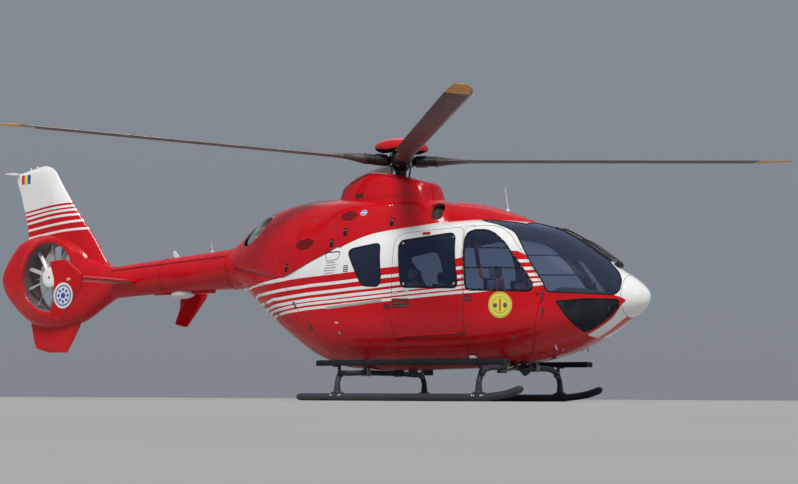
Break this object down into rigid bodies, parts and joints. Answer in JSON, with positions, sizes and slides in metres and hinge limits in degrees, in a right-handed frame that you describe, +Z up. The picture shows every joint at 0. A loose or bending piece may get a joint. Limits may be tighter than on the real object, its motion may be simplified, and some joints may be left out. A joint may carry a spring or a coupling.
{
  "type": "helicopter",
  "caption": "Light twin engine rescue helicopter on skids, with a glazed cabin, hinged crew and rear doors, main rotor and shrouded tail rotor.",
  "frame": {"origin": "on the ground, below the middle of the object's box", "axes": "+X forward to the nose, +Y to port, +Z up"},
  "size_m": [11.0429, 7.933, 3.4443],
  "materials": {
    "red_paint": "gloss",
    "white_paint": "gloss",
    "grey_gear": "satin",
    "dark_step": "satin",
    "dark_trim": "matte",
    "floor_covering": "satin",
    "hub_metal": "satin",
    "blade_paint": "satin",
    "fan_grey": "satin",
    "bright_metal": "brushed",
    "cast_metal": "cast",
    "gearbox_metal": "cast",
    "seat_cloth": "woven",
    "tinted_glass": "clear, slightly tinted"
  },
  "bodies": {
    "airframe": {"cabin_shell": "red_paint", "nose_dome": "white_paint", "sliding_door_right": "red_paint", "sliding_window_right": "tinted_glass", "quarter_window_right": "tinted_glass", "windscreen_right": "tinted_glass", "chin_window_right": "tinted_glass", "sliding_door_left": "red_paint", "sliding_window_left": "tinted_glass", "quarter_window_left": "tinted_glass", "windscreen_left": "tinted_glass", "chin_window_left": "tinted_glass", "mast_fairing": "red_paint", "transmission_cowl": "red_paint", "engine_cowl_right": "red_paint", "exhaust_right": "bright_metal", "engine_right": "cast_metal", "engine_cowl_left": "red_paint", "exhaust_left": "bright_metal", "engine_left": "cast_metal", "roof_fairing": "red_paint", "main_gearbox": "gearbox_metal", "tail_boom": "red_paint", "tail_fin": "red_paint", "tail_shroud": "red_paint", "fan_stator": "fan_grey", "stabiliser_right": "red_paint", "stabiliser_left": "red_paint", "skid_right": "grey_gear", "step_right": "dark_step", "skid_left": "grey_gear", "step_left": "dark_step", "cross_tube_front": "grey_gear", "cross_tube_rear": "grey_gear", "cabin_floor": "floor_covering", "crew_seat_right": "seat_cloth", "cabin_seat_right": "seat_cloth", "crew_seat_left": "seat_cloth", "cabin_seat_left": "seat_cloth", "instrument_panel": "dark_trim"},
    "main_rotor": {"rotor_hub": "hub_metal", "hub_cap": "red_paint", "blade_1": "blade_paint", "blade_2": "blade_paint", "blade_3": "blade_paint", "blade_4": "blade_paint"},
    "tail_rotor": {"fan_rotor": "fan_grey"},
    "crew_door_right": {"crew_door_right": "red_paint", "crew_window_right": "tinted_glass"},
    "clamshell_door_right": {"clamshell_door_right": "red_paint"},
    "crew_door_left": {"crew_door_left": "red_paint", "crew_window_left": "tinted_glass"},
    "clamshell_door_left": {"clamshell_door_left": "red_paint"}
  },
  "joints": [
    {"name": "main_rotor_spin", "type": "hinge", "parent": "airframe", "child": "main_rotor", "pos_m": [1.5485, 0, 3.04], "axis": [0.0401, 0, 0.9992], "continuous": true},
    {"name": "tail_rotor_spin", "type": "hinge", "parent": "airframe", "child": "tail_rotor", "pos_m": [-4.4615, 0, 1.763], "axis": [0, 1, 0], "continuous": true},
    {"name": "crew_door_right_hinge", "type": "hinge", "parent": "airframe", "child": "crew_door_right", "pos_m": [3.9625, -0.712, 1.13], "axis": [0, 0, 1], "range_deg": [0, 75]},
    {"name": "crew_door_left_hinge", "type": "hinge", "parent": "airframe", "child": "crew_door_left", "pos_m": [3.9625, 0.712, 1.13], "axis": [0, 0, -1], "range_deg": [0, 75]},
    {"name": "clamshell_door_right_hinge", "type": "hinge", "parent": "airframe", "child": "clamshell_door_right", "pos_m": [0.5265, -0.722, 1.068], "axis": [-0.6402, 0, 0.7682], "range_deg": [0, 65]},
    {"name": "clamshell_door_left_hinge", "type": "hinge", "parent": "airframe", "child": "clamshell_door_left", "pos_m": [0.5265, 0.722, 1.068], "axis": [0.6402, 0, -0.7682], "range_deg": [0, 65]}
  ]
}
